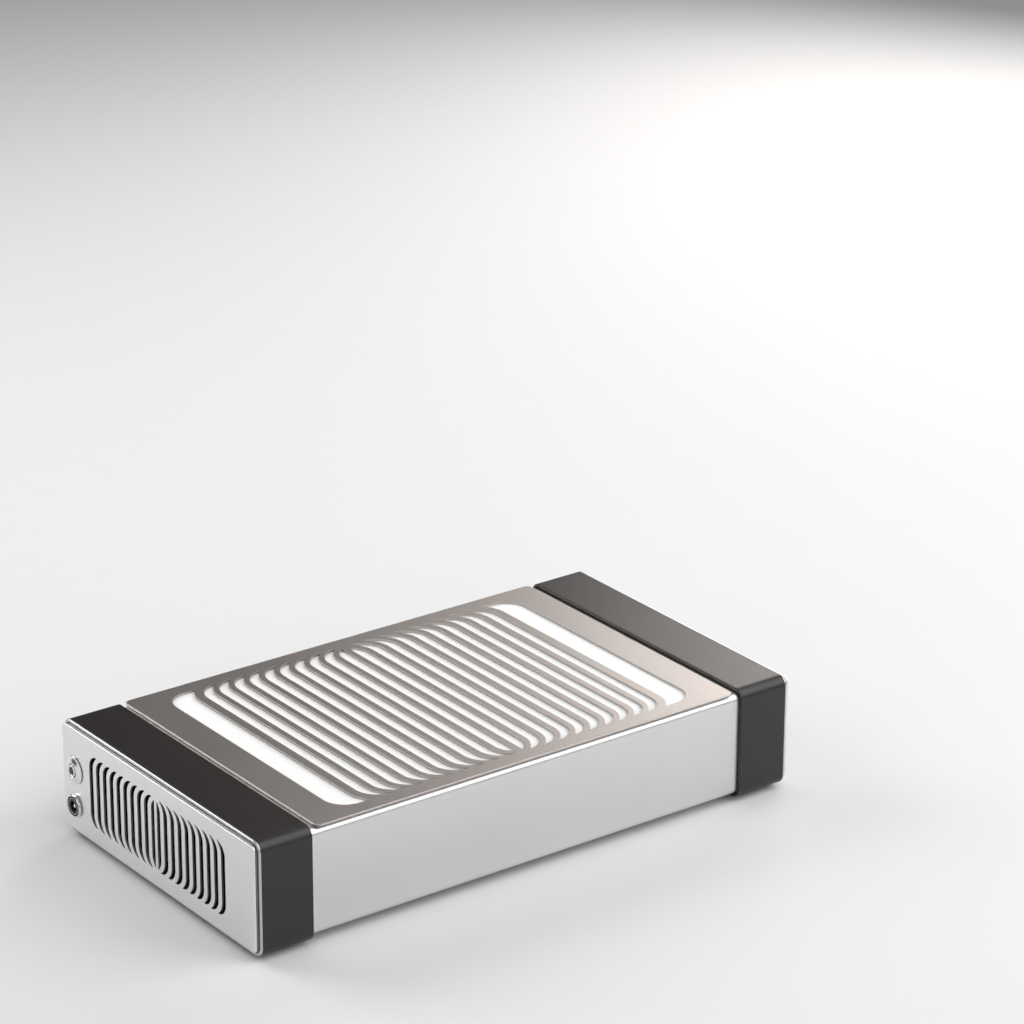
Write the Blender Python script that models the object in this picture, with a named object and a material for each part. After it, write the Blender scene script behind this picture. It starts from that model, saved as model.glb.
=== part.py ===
"""Nail dust collector: a low desk unit with a lift-off steel grille, a filter cassette and two fans.

Frame: X runs along the length, with the controls on the -X end. -Y is the front. +Z is up.
The origin is the centre of the footprint, on the surface that the rubber feet stand on.
All sizes are metres.
"""

import math

import bmesh
import bpy
from mathutils import Matrix, Vector

MM = 0.001
GAP = 0.3 * MM  # clearance between pieces that touch on the real object

# Overall
LENGTH = 314 * MM  # over the two end plates
WIDTH = 170 * MM  # over the two dark bands
HEIGHT = 60.5 * MM  # from the feet to the top of the bands
FOOT_LIFT = 2 * MM  # the feet hold the bands this far off the desk

# Dark bands: sleeves that wrap both ends of the steel body
BAND_HEIGHT = HEIGHT - FOOT_LIFT
BAND_MIDDLE = FOOT_LIFT + BAND_HEIGHT / 2
BAND_INNER_X = 125.9 * MM
BAND_OUTER_X = 154.9 * MM
BAND_RADIUS = 5.5 * MM
BAND_WALL = 1.5 * MM
BAND_END_FILLET = 1.2 * MM
BAND_LIP_FILLET = 0.4 * MM

# Steel body: a bent tube with a rectangular mouth in its top
SHELL_STEP = 1.8 * MM  # the body lies this far inside the bands at its sides and its bottom
SHELL_TOP_STEP = 2.2 * MM  # and this far at its top, which leaves room for the lid
SHELL_END_X = 148.5 * MM
SHELL_RADIUS = 4 * MM
SHELL_WALL = 1.2 * MM
SHELL_TOP = HEIGHT - SHELL_TOP_STEP
SHELL_BOTTOM = FOOT_LIFT + SHELL_STEP
SHELL_MIDDLE = (SHELL_TOP + SHELL_BOTTOM) / 2
FLOOR = SHELL_BOTTOM + SHELL_WALL  # the inner face of the body's bottom
SHELL_HALF_WIDTH = WIDTH / 2 - SHELL_STEP
MOUTH = (216 * MM, 158 * MM)
MOUTH_RADIUS = 6 * MM

# End plates and the frames that carry them
PLATE_SIZE = (167 * MM, 54 * MM)
PLATE_MIDDLE = BAND_MIDDLE + 0.5 * MM
PLATE_RADIUS = 2.5 * MM
PLATE_THICK = 1.2 * MM
PLATE_BACK_X = LENGTH / 2 - PLATE_THICK
FRAME_STEP = 1.8 * MM  # the end frame fits inside the band's mouth
FRAME_BAR = 2.4 * MM
FRAME_RADIUS = BAND_RADIUS - FRAME_STEP
FRAME_FRONT_X = PLATE_BACK_X - GAP
FRAME_BACK_X = SHELL_END_X + GAP
PLATE_SLOTS = dict(outer=59.3 * MM, width=3.3 * MM, pitch=6.15 * MM, bar=2 * MM)
PLATE_SLOT_HALF = 19 * MM
PLATE_SLOT_BEND = 7 * MM

# Lid
LID_SIZE = (245 * MM, 167.2 * MM)
LID_RADIUS = 3.5 * MM
LID_THICK = 1.2 * MM
LID_TOP = HEIGHT - 0.7 * MM  # the lid lies a little lower than the bands
LID_TRAVEL = 120 * MM
LID_SLOTS = dict(outer=87 * MM, width=5.7 * MM, pitch=8.85 * MM, bar=3.1 * MM)
LID_SLOT_HALF = 75 * MM
LID_SLOT_BEND = 12 * MM
LID_END_SLOT = (105 * MM, 91.6 * MM)
SLOTS_PER_SIDE = 10

# Magnets under the mouth's rim, which hold the lid
MAGNET_RADIUS = 4 * MM
MAGNET_THICK = 2 * MM
MAGNET_AT = (115 * MM, 60 * MM)

# Fans, of the 92 mm class, hung under the deck
FAN_SIZE = 92 * MM
FAN_DEPTH = 25 * MM
FAN_X = 50 * MM
FAN_BORE_RADIUS = 43.5 * MM
FAN_SHROUD_RADIUS = 45.5 * MM
FAN_FLANGE = 3.5 * MM
FAN_HOLE_SPACING = 82.5 * MM
FAN_HUB_RADIUS = 17 * MM
FAN_BORE_TO_SHAFT = 1.9 * MM
FAN_BLADES = 7
FAN_STEPS = 24  # flats around the shroud
DECK_TOP = 44 * MM
DECK_THICK = 1 * MM
FAN_TOP = DECK_TOP - DECK_THICK - GAP
FAN_BOTTOM = FAN_TOP - FAN_DEPTH

# Filter cassette
CASSETTE = (214 * MM, 156 * MM)
CASSETTE_TOP = 57.6 * MM
GASKET_TOP = DECK_TOP + GAP + 1.5 * MM
CASSETTE_BOTTOM = GASKET_TOP + GAP
CASSETTE_WALL = 3 * MM
PAD_TOP = LID_TOP - LID_THICK - 0.4 * MM  # the filter stands above its frame, just under the lid

# Controls on the -X end plate
CONTROL_Y = 73 * MM
BUTTON_Z = 37 * MM
JACK_Z = 18.1 * MM
CONTROL_FACE_X = -LENGTH / 2
BUTTON_RADIUS = 7.2 * MM
BUTTON_BARREL = 5.8 * MM
BUTTON_BORE = 3.4 * MM
BUTTON_PROUD = 1.6 * MM
PLUNGER_RADIUS = 3.1 * MM
PLUNGER_TRAVEL = 0.8 * MM
JACK_RADIUS = 5.85 * MM
JACK_BARREL = 4.2 * MM
JACK_PROUD = 1.7 * MM

# Feet
FOOT_AT = (139 * MM, 66 * MM)
FOOT_RADIUS = 7 * MM
FOOT_SCREW_RADIUS = 1.5 * MM

# Control board, on two posts beside the left fan
BOARD_SIZE = (18 * MM, 52 * MM, 1.6 * MM)
BOARD_AT = (-136 * MM, 34 * MM)
POST_HEIGHT = 5 * MM
BOARD_BOTTOM = FLOOR + 2 * GAP + POST_HEIGHT
CONNECTOR_HALF_X = 6 * MM
CONNECTOR_FRONT = 4 * MM  # from the board's middle towards the front
CONNECTOR_BACK = 8 * MM
CONNECTOR_HEIGHT = 6 * MM

ROUND_STEPS = 4  # straight pieces in a quarter of a rounded corner
TURN_STEPS = 16  # flats around a small turned piece
SLOT_STEPS = 3  # straight pieces in a slot's bend
LEAST_CORNER = 0.6 * MM  # no corner inside a sleeve is sharper than this


# ---------------------------------------------------------------- materials


def material(name, colour, roughness, metallic):
    made = bpy.data.materials.new(name)
    made.use_nodes = True
    shader = made.node_tree.nodes["Principled BSDF"]
    shader.inputs["Base Color"].default_value = (*colour, 1)
    shader.inputs["Roughness"].default_value = roughness
    shader.inputs["Metallic"].default_value = metallic
    made.diffuse_color = (*colour, 1)
    return made


def make_materials():
    return {
        "satin_steel": material("satin_steel", (0.62, 0.61, 0.60), 0.32, 1.0),
        "warm_steel": material("warm_steel", (0.42, 0.38, 0.35), 0.38, 1.0),
        "silver_plate": material("silver_plate", (0.72, 0.72, 0.72), 0.35, 1.0),
        "frame_grey": material("frame_grey", (0.35, 0.35, 0.35), 0.45, 1.0),
        "dark_coat": material("dark_coat", (0.035, 0.033, 0.032), 0.42, 0.0),
        "chrome": material("chrome", (0.80, 0.80, 0.80), 0.08, 1.0),
        "zinc_steel": material("zinc_steel", (0.50, 0.50, 0.48), 0.40, 1.0),
        "black_plastic": material("black_plastic", (0.02, 0.02, 0.02), 0.50, 0.0),
        "white_filter": material("white_filter", (0.90, 0.90, 0.88), 0.90, 0.0),
        "white_plastic": material("white_plastic", (0.80, 0.80, 0.78), 0.50, 0.0),
        "black_foam": material("black_foam", (0.03, 0.03, 0.03), 0.95, 0.0),
        "black_rubber": material("black_rubber", (0.02, 0.02, 0.02), 0.80, 0.0),
        "magnet_nickel": material("magnet_nickel", (0.60, 0.59, 0.57), 0.20, 1.0),
        "copper": material("copper", (0.70, 0.32, 0.18), 0.35, 1.0),
        "board_green": material("board_green", (0.02, 0.14, 0.06), 0.40, 0.0),
        "dark_lens": material("dark_lens", (0.03, 0.03, 0.035), 0.10, 0.0),
    }


# ---------------------------------------------------------------- modelling helpers


def clear_scene():
    for thing in list(bpy.data.objects):
        bpy.data.objects.remove(thing, do_unlink=True)


def show(name, data, look, place=None, parent=None):
    """Puts a mesh or a curve in the scene as one named object."""
    piece = bpy.data.objects.new(name, data)
    bpy.context.scene.collection.objects.link(piece)
    if look:
        data.materials.append(look)
    if parent:
        piece.parent = parent
    if place:
        piece.matrix_local = place
    return piece


def pivot(name, where):
    """An empty on a joint's axis, the parent of the pieces that move together."""
    empty = bpy.data.objects.new(name, None)
    bpy.context.scene.collection.objects.link(empty)
    empty.location = where
    empty.empty_display_size = 10 * MM
    return empty


def finish_mesh(bm, name):
    bmesh.ops.remove_doubles(bm, verts=bm.verts, dist=1e-6)
    bmesh.ops.recalc_face_normals(bm, faces=bm.faces)
    mesh = bpy.data.meshes.new(name)
    bm.to_mesh(mesh)
    bm.free()
    mesh.shade_smooth()
    mesh.set_sharp_from_angle(angle=math.radians(30))
    return mesh


def arc(centre, radius, start, end, steps):
    """Points on an arc, from start to end in degrees."""
    turn = [math.radians(start + (end - start) * i / steps) for i in range(steps + 1)]
    return [(centre[0] + radius * math.cos(a), centre[1] + radius * math.sin(a)) for a in turn]


def rounded_rectangle(size, radius, steps=ROUND_STEPS, centre=(0, 0)):
    """Counterclockwise outline of a rectangle with round corners."""
    x, y = size[0] / 2 - radius, size[1] / 2 - radius
    points = []
    for corner, (sx, sy) in enumerate([(1, 1), (-1, 1), (-1, -1), (1, -1)]):
        middle = (centre[0] + sx * x, centre[1] + sy * y)
        points += arc(middle, radius, 90 * corner, 90 * corner + 90, steps)
    return points


def circle(radius, steps, centre=(0, 0)):
    return arc(centre, radius, 0, 360, steps)[:-1]


def flat_sheet(name, outline, holes, thick):
    """A sheet cut from a flat outline, with its middle plane at z = 0."""
    curve = bpy.data.curves.new(name, "CURVE")
    curve.dimensions = "2D"
    curve.fill_mode = "BOTH"
    curve.extrude = thick / 2
    for points in [outline, *holes]:
        spline = curve.splines.new("POLY")
        spline.points.add(len(points) - 1)
        for point, (x, y) in zip(spline.points, points):
            point.co = (x, y, 0, 1)
        spline.use_cyclic_u = True
    return curve


def turned(name, profile, steps=TURN_STEPS):
    """A profile of (radius, height) points turned about Z. One that starts off the axis is closed."""
    bm = bmesh.new()
    verts = [bm.verts.new((r, 0, h)) for r, h in profile]
    edges = [bm.edges.new(pair) for pair in zip(verts, verts[1:])]
    if profile[0][0] > 0:
        edges.append(bm.edges.new((verts[-1], verts[0])))
    bmesh.ops.spin(
        bm, geom=verts + edges, cent=(0, 0, 0), axis=(0, 0, 1), angle=math.tau, steps=steps
    )
    return finish_mesh(bm, name)


def ring_of_sections(name, sections, closed):
    """Skins a row of outlines, each a list of 3-D points of the same count.

    A closed row is a hollow sleeve, whose last outline meets its first.
    An open row is a solid block, whose two ends are filled.
    """
    bm = bmesh.new()
    loops = [[bm.verts.new(point) for point in section] for section in sections]
    pairs = list(zip(loops, loops[1:]))
    if closed:
        pairs.append((loops[-1], loops[0]))
    for one, other in pairs:
        for a, b, c, d in zip(one, one[1:] + one[:1], other[1:] + other[:1], other):
            bm.faces.new((a, b, c, d))
    if not closed:
        bm.faces.new(loops[0])
        bm.faces.new(loops[-1])
    return finish_mesh(bm, name)


def along_x(outline, x, middle_z):
    return [(x, y, z + middle_z) for y, z in outline]


def sleeve_x(name, size, radius, middle_z, rows):
    """A sleeve about the X direction. rows holds (inset, x) for each outline around its wall."""
    sections = []
    for inset, x in rows:
        inner = (size[0] - 2 * inset, size[1] - 2 * inset)
        outline = rounded_rectangle(inner, max(radius - inset, LEAST_CORNER))
        sections.append(along_x(outline, x, middle_z))
    return ring_of_sections(name, sections, closed=True)


def sleeve_z(name, size, radius, rows):
    """A sleeve about the Z direction. rows holds (inset, z) for each outline around its wall."""
    sections = []
    for inset, z in rows:
        inner = (size[0] - 2 * inset, size[1] - 2 * inset)
        outline = rounded_rectangle(inner, max(radius - inset, LEAST_CORNER))
        sections.append([(x, y, z) for x, y in outline])
    return ring_of_sections(name, sections, closed=True)


def block(name, low, high, edge=0.0):
    """A box between two corners, with its edges cut at 45 degrees."""
    bm = bmesh.new()
    bmesh.ops.create_cube(bm, size=1)
    size = Vector(high) - Vector(low)
    bmesh.ops.scale(bm, vec=size, verts=bm.verts)
    bmesh.ops.translate(bm, vec=(Vector(low) + Vector(high)) / 2, verts=bm.verts)
    if edge:
        bmesh.ops.bevel(bm, geom=bm.edges[:], offset=edge, segments=1, affect="EDGES")
    return finish_mesh(bm, name)


def cutter(name, mesh, place=None):
    tool = show(name, mesh, None, place)
    tool.hide_render = True
    tool.display_type = "WIRE"
    return tool


def boolean(piece, tool, operation):
    modifier = piece.modifiers.new(operation.lower() + "_" + tool.name, "BOOLEAN")
    modifier.operation = operation
    modifier.solver = "EXACT"
    modifier.object = tool


def facing_minus_x(at):
    """Local X runs to the front, local Y up and local Z out of the -X end."""
    turn = Matrix(((0, 0, -1), (-1, 0, 0), (0, 1, 0))).to_4x4()
    return Matrix.Translation(at) @ turn


def facing_plus_x(at):
    """Local X runs to the back, local Y up and local Z out of the +X end."""
    turn = Matrix(((0, 0, 1), (1, 0, 0), (0, 1, 0))).to_4x4()
    return Matrix.Translation(at) @ turn


def smooth_route(points, spacing):
    """Points at an even spacing along a Catmull-Rom curve through a route's own points."""
    ends = [2 * points[0] - points[1], *points, 2 * points[-1] - points[-2]]
    fine = []
    for a, b, c, d in zip(ends, ends[1:], ends[2:], ends[3:]):
        for i in range(20):
            t = i / 20
            fine.append(
                0.5 * (2 * b + (c - a) * t + (2 * a - 5 * b + 4 * c - d) * t**2
                       + (3 * b - a - 3 * c + d) * t**3)
            )
    fine.append(points[-1])
    total = sum((q - p).length for p, q in zip(fine, fine[1:]))
    count = max(round(total / spacing), 2)
    picked, walked, due = [fine[0]], 0.0, total / count
    for p, q in zip(fine, fine[1:]):
        step = (q - p).length
        while walked + step >= due * len(picked) and len(picked) < count:
            picked.append(p.lerp(q, (due * len(picked) - walked) / step))
        walked += step
    return picked + [fine[-1]]


def wire(name, route, diameter, look):
    curve = bpy.data.curves.new(name, "CURVE")
    curve.dimensions = "3D"
    curve.bevel_depth = diameter / 2
    curve.bevel_resolution = 1
    curve.use_fill_caps = True
    points = smooth_route([Vector(p) for p in route], 3 * diameter)
    spline = curve.splines.new("POLY")
    spline.points.add(len(points) - 1)
    for point, at in zip(spline.points, points):
        point.co = (*at, 1)
    return show(name, curve, look)


# ---------------------------------------------------------------- the slot pattern


def slot(outer, inner, half, bend, side):
    """One slot, bent towards the middle at both ends.

    Its outer edge is straight and turns through a quarter circle at each end. Its inner edge
    is straight too, and curves out to meet the end of that quarter circle in a point.
    side is 1 right of the middle and -1 left of it.
    """
    tip = outer - bend
    lean = inner - tip
    swing = (lean**2 + bend**2) / (2 * lean)
    reach = math.degrees(math.asin(bend / swing))
    straight = half - bend
    edge = arc((outer - bend, straight), bend, 0, 90, SLOT_STEPS)
    edge += arc((inner - swing, straight), swing, reach, 0, SLOT_STEPS)[1:]
    edge += [(x, -y) for x, y in reversed(edge)]
    return [(side * x, y) for x, y in edge]


def middle_slot(outer, inner, half, bend, side):
    """The slot beside the middle bar, which cuts its bends short."""
    reach = math.degrees(math.acos((inner - outer + bend) / bend))
    edge = arc((outer - bend, half - bend), bend, 0, reach, SLOT_STEPS)
    edge += [(x, -y) for x, y in reversed(edge)]
    return [(side * x, y) for x, y in edge]


def slot_pattern(slots, half, bend):
    """Slots on both sides of a middle bar, all bent towards it."""
    holes = []
    for side in (-1, 1):
        for i in range(SLOTS_PER_SIDE):
            outer = slots["outer"] - i * slots["pitch"]
            inner = outer - slots["width"]
            if i == SLOTS_PER_SIDE - 1:
                holes.append(middle_slot(outer, slots["bar"] / 2, half, bend, side))
            else:
                holes.append(slot(outer, inner, half, bend, side))
    return holes


def end_slot(side):
    """The broad slot at each end of the lid. Its inner edge leans in and meets its straight end."""
    outer, inner = LID_END_SLOT
    straight = LID_SLOT_HALF - LID_SLOT_BEND
    lean = 5 * MM
    swing = (lean**2 + LID_SLOT_BEND**2) / (2 * lean)
    reach = math.degrees(math.asin(LID_SLOT_BEND / swing))
    edge = arc((outer - LID_SLOT_BEND, straight), LID_SLOT_BEND, 0, 90, SLOT_STEPS)
    edge += arc((inner - swing, straight), swing, reach, 0, SLOT_STEPS)
    edge += [(x, -y) for x, y in reversed(edge)]
    return [(side * x, y) for x, y in edge]


# ---------------------------------------------------------------- casing


def screw_hole_cutter():
    """Four upright cylinders, one at each foot, that drill the bands and the body."""
    bm = bmesh.new()
    for sx in (-1, 1):
        for sy in (-1, 1):
            place = Matrix.Translation((sx * FOOT_AT[0], sy * FOOT_AT[1], FLOOR))
            bmesh.ops.create_cone(
                bm, cap_ends=True, segments=12, radius1=FOOT_SCREW_RADIUS + GAP,
                radius2=FOOT_SCREW_RADIUS + GAP, depth=12 * MM, matrix=place,
            )
    return cutter("foot_screw_drill", finish_mesh(bm, "foot_screw_drill"))


def make_body_shell(looks, drill):
    size = (2 * SHELL_HALF_WIDTH, SHELL_TOP - SHELL_BOTTOM)
    rows = [(0, -SHELL_END_X), (0, SHELL_END_X), (SHELL_WALL, SHELL_END_X), (SHELL_WALL, -SHELL_END_X)]
    mesh = sleeve_x("body_shell", size, SHELL_RADIUS, SHELL_MIDDLE, rows)
    shell = show("body_shell", mesh, looks["satin_steel"])
    opening = rounded_rectangle(MOUTH, MOUTH_RADIUS)
    sections = [[(x, y, z) for x, y in opening] for z in (SHELL_TOP - 6 * MM, SHELL_TOP + 6 * MM)]
    mouth = cutter("mouth_cutter", ring_of_sections("mouth_cutter", sections, closed=False))
    boolean(shell, mouth, "DIFFERENCE")
    boolean(shell, drill, "DIFFERENCE")


def make_band(name, side, looks, drill):
    """A sleeve with a soft outer end and a crisp inner end."""
    end, lip = BAND_END_FILLET, BAND_LIP_FILLET
    rows = []
    for i in range(4):
        turn = math.radians(30 * i)
        rows.append((end * (1 - math.sin(turn)), BAND_OUTER_X - end * (1 - math.cos(turn))))
    rows += [(0, BAND_INNER_X + lip), (lip, BAND_INNER_X)]
    rows += [(BAND_WALL, BAND_INNER_X), (BAND_WALL, BAND_OUTER_X)]
    rows = [(inset, side * x) for inset, x in rows]
    mesh = sleeve_x(name, (WIDTH, BAND_HEIGHT), BAND_RADIUS, BAND_MIDDLE, rows)
    band = show(name, mesh, looks["dark_coat"])
    boolean(band, drill, "DIFFERENCE")


def make_end_frame(name, side, looks):
    """The frame inside the band's mouth, which the end plate is fixed to."""
    size = (WIDTH - 2 * FRAME_STEP, BAND_HEIGHT - 2 * FRAME_STEP)
    rows = [(0, FRAME_FRONT_X), (0, FRAME_BACK_X), (FRAME_BAR, FRAME_BACK_X), (FRAME_BAR, FRAME_FRONT_X)]
    rows = [(inset, side * x) for inset, x in rows]
    mesh = sleeve_x(name, size, FRAME_RADIUS, BAND_MIDDLE, rows)
    show(name, mesh, looks["frame_grey"])


def make_end_plate(name, side, looks):
    holes = slot_pattern(PLATE_SLOTS, PLATE_SLOT_HALF, PLATE_SLOT_BEND)
    if side < 0:
        for z, radius in ((BUTTON_Z, BUTTON_BARREL), (JACK_Z, JACK_BARREL)):
            holes.append(circle(radius + GAP, TURN_STEPS, (-CONTROL_Y, z - PLATE_MIDDLE)))
    outline = rounded_rectangle(PLATE_SIZE, PLATE_RADIUS)
    curve = flat_sheet(name, outline, holes, PLATE_THICK)
    at = (side * (PLATE_BACK_X + PLATE_THICK / 2), 0, PLATE_MIDDLE)
    place = facing_minus_x(at) if side < 0 else facing_plus_x(at)
    show(name, curve, looks["silver_plate"], place)


def make_lid(looks):
    holes = slot_pattern(LID_SLOTS, LID_SLOT_HALF, LID_SLOT_BEND)
    holes += [end_slot(-1), end_slot(1)]
    outline = rounded_rectangle(LID_SIZE, LID_RADIUS)
    curve = flat_sheet("grille_lid", outline, holes, LID_THICK)
    lift = pivot("lid_slide", (0, 0, LID_TOP - LID_THICK / 2))
    show("grille_lid", curve, looks["warm_steel"], parent=lift)


def make_magnets(looks):
    top = SHELL_TOP - SHELL_WALL - GAP
    profile = [(0, -MAGNET_THICK), (MAGNET_RADIUS, -MAGNET_THICK), (MAGNET_RADIUS, 0), (0, 0)]
    mesh = turned("lid_magnet", profile, 16)
    corners = [(-1, -1), (1, -1), (1, 1), (-1, 1)]
    for number, (sx, sy) in enumerate(corners, 1):
        place = Matrix.Translation((sx * MAGNET_AT[0], sy * MAGNET_AT[1], top))
        show(f"lid_magnet_{number}", mesh, None, place)
    mesh.materials.append(looks["magnet_nickel"])


# ---------------------------------------------------------------- feet


def make_feet(looks):
    hole, head = FOOT_SCREW_RADIUS + GAP, 3.4 * MM
    top = FOOT_LIFT - GAP
    foot = turned("foot", [
        (head, 0), (FOOT_RADIUS, 0), (FOOT_RADIUS - 0.6 * MM, top), (hole, top), (hole, 1.2 * MM),
    ])
    foot.materials.append(looks["black_rubber"])
    low = 0.35 * MM
    socket = 1.1 * MM
    screw = turned("foot_screw", [
        (0, low + 0.5 * MM), (socket, low + 0.5 * MM), (socket, low), (2.8 * MM, low),
        (1.4 * MM, low + 0.8 * MM), (1.4 * MM, FLOOR + 3 * MM), (0, FLOOR + 3 * MM),
    ], 8)
    screw.materials.append(looks["zinc_steel"])
    corners = [(-1, -1), (1, -1), (1, 1), (-1, 1)]
    for number, (sx, sy) in enumerate(corners, 1):
        place = Matrix.Translation((sx * FOOT_AT[0], sy * FOOT_AT[1], 0))
        show(f"foot_{number}", foot, None, place)
        show(f"foot_screw_{number}", screw, None, place)


# ---------------------------------------------------------------- fans


def make_deck(looks):
    """The shelf that carries the fans and the cassette, with its front and back edges folded down."""
    half, fold = SHELL_HALF_WIDTH - SHELL_WALL - GAP, 5 * MM
    thick = DECK_THICK
    under = DECK_TOP - thick
    corners = [
        (-half, DECK_TOP - fold), (-half + thick, DECK_TOP - fold), (-half + thick, under),
        (half - thick, under), (half - thick, DECK_TOP - fold), (half, DECK_TOP - fold),
        (half, DECK_TOP), (-half, DECK_TOP),
    ]
    ends = 123 * MM
    sections = [[(x, y, z) for y, z in corners] for x in (-ends, ends)]
    deck = show("fan_deck", ring_of_sections("fan_deck", sections, closed=False), looks["zinc_steel"])
    bm = bmesh.new()
    reach = FAN_HOLE_SPACING / 2
    for fan_x in (-FAN_X, FAN_X):
        holes = [(fan_x, 0, FAN_BORE_RADIUS, 32)]
        holes += [(fan_x + sx * reach, sy * reach, 2 * MM, 8) for sx in (-1, 1) for sy in (-1, 1)]
        for x, y, radius, steps in holes:
            bmesh.ops.create_cone(
                bm, cap_ends=True, segments=steps, radius1=radius, radius2=radius,
                depth=8 * MM, matrix=Matrix.Translation((x, y, under)),
            )
    boolean(deck, cutter("deck_drill", finish_mesh(bm, "deck_drill")), "DIFFERENCE")


def fan_flange():
    """A square flange with a round middle and four screw holes."""
    reach = FAN_HOLE_SPACING / 2
    outline = rounded_rectangle((FAN_SIZE, FAN_SIZE), 5 * MM, 2)
    holes = [circle(FAN_BORE_RADIUS + 1 * MM, FAN_STEPS)]
    holes += [circle(2.2 * MM, 6, (sx * reach, sy * reach)) for sx in (-1, 1) for sy in (-1, 1)]
    return flat_sheet("fan_flange", outline, holes, FAN_FLANGE)


def make_fan_frame(name, fan_x, looks):
    """The shroud is the base piece. Its flanges, struts and motor mount are joined to it."""
    low, high = 1 * MM, FAN_DEPTH - 1 * MM
    shroud = turned(name, [
        (FAN_BORE_RADIUS, low), (FAN_SHROUD_RADIUS, low),
        (FAN_SHROUD_RADIUS, high), (FAN_BORE_RADIUS, high),
    ], FAN_STEPS)
    place = Matrix.Translation((fan_x, 0, FAN_BOTTOM))
    frame = show(name, shroud, looks["black_plastic"], place)
    bm = bmesh.new()
    for z in (FAN_FLANGE / 2, FAN_DEPTH - FAN_FLANGE / 2):
        source = bpy.data.objects.new("flange_source", fan_flange())
        bpy.context.scene.collection.objects.link(source)
        graph = bpy.context.evaluated_depsgraph_get()
        copy = bpy.data.meshes.new_from_object(source.evaluated_get(graph))
        copy.transform(Matrix.Translation((0, 0, z)))
        bm.from_mesh(copy)
        bpy.data.objects.remove(source, do_unlink=True)
    flanges = cutter(name + "_flanges", finish_mesh(bm, name + "_flanges"), place)
    boolean(frame, flanges, "UNION")
    reach = FAN_BORE_RADIUS + 1.3 * MM
    for turn in (45, 135):
        strut = block("strut", (-reach, -2 * MM, 1.2 * MM), (reach, 2 * MM, 3 * MM))
        across = place @ Matrix.Rotation(math.radians(turn), 4, "Z")
        boolean(frame, cutter(f"{name}_strut_{turn}", strut, across), "UNION")
    mount = turned(name + "_mount", [
        (0, 0), (FAN_HUB_RADIUS, 0), (FAN_HUB_RADIUS, 3.4 * MM), (4 * MM, 3.4 * MM),
        (4 * MM, 18 * MM), (0, 18 * MM),
    ])
    mount_tool = cutter(name + "_mount", mount, place)
    hole = FAN_BORE_TO_SHAFT
    bore = turned(name + "_bore", [(0, -2 * MM), (hole, -2 * MM), (hole, 20 * MM), (0, 20 * MM)], 12)
    boolean(frame, mount_tool, "UNION")
    boolean(frame, cutter(name + "_bore", bore, place), "DIFFERENCE")


def make_stator(name, fan_x, looks):
    mesh = turned(name, [
        (4.4 * MM, 4 * MM), (10 * MM, 4 * MM), (12.5 * MM, 6 * MM),
        (12.5 * MM, 14 * MM), (10 * MM, 16 * MM), (4.4 * MM, 16 * MM),
    ])
    show(name, mesh, looks["copper"], Matrix.Translation((fan_x, 0, FAN_BOTTOM)))


def blade_mesh(turn):
    """A thin plate from the hub to near the shroud, set at a pitch that eases towards its tip."""
    inner, outer = FAN_HUB_RADIUS - 1.2 * MM, FAN_BORE_RADIUS - 1.5 * MM
    thick, rows, columns = 1.6 * MM, 2, 3
    bm = bmesh.new()
    sides = []
    for level in (-thick / 2, thick / 2):
        grid = []
        for i in range(rows + 1):
            out = i / rows
            radius = inner + (outer - inner) * out
            span = math.radians(40)
            rise = (8.5 - 2.5 * out) * MM
            line = []
            for j in range(columns + 1):
                across = j / columns - 0.5
                angle = turn + across * span + 0.25 * out
                curve = 1.2 * MM * (1 - 4 * across**2)
                z = 14 * MM + 2 * across * rise + curve + level
                line.append(bm.verts.new((radius * math.cos(angle), radius * math.sin(angle), z)))
            grid.append(line)
        sides.append(grid)
    for grid in sides:
        for a, b in zip(grid, grid[1:]):
            for p, q, r, s in zip(a, a[1:], b[1:], b):
                bm.faces.new((p, q, r, s))
    under, over = sides
    rims = [
        (under[0], over[0]), (under[-1], over[-1]),
        ([line[0] for line in under], [line[0] for line in over]),
        ([line[-1] for line in under], [line[-1] for line in over]),
    ]
    for low, high in rims:
        for p, q, r, s in zip(low, low[1:], high[1:], high):
            bm.faces.new((p, q, r, s))
    return finish_mesh(bm, "blade")


def make_rotor(name, fan_x, looks):
    """A cup over the motor with its shaft and seven blades, turning about the fan's middle."""
    spin = pivot(name + "_axis", (fan_x, 0, FAN_BOTTOM))
    cup_top, cup_inside, cup_lip = 23.5 * MM, 21 * MM, 4.5 * MM
    inner, round_edge = FAN_HUB_RADIUS - 2 * MM, 1.5 * MM
    profile = [
        (0, 2.5 * MM), (1.5 * MM, 2.5 * MM), (1.5 * MM, cup_inside), (inner, cup_inside),
        (inner, cup_lip), (FAN_HUB_RADIUS, cup_lip), (FAN_HUB_RADIUS, cup_top - round_edge),
        (FAN_HUB_RADIUS - round_edge, cup_top), (0, cup_top),
    ]
    rotor = show(name, turned(name, profile, 20), looks["black_plastic"], parent=spin)
    bm = bmesh.new()
    for number in range(FAN_BLADES):
        bm.from_mesh(blade_mesh(math.tau * number / FAN_BLADES))
    blades = cutter(name + "_blades", finish_mesh(bm, name + "_blades"))
    blades.parent = spin
    boolean(rotor, blades, "UNION")


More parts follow.
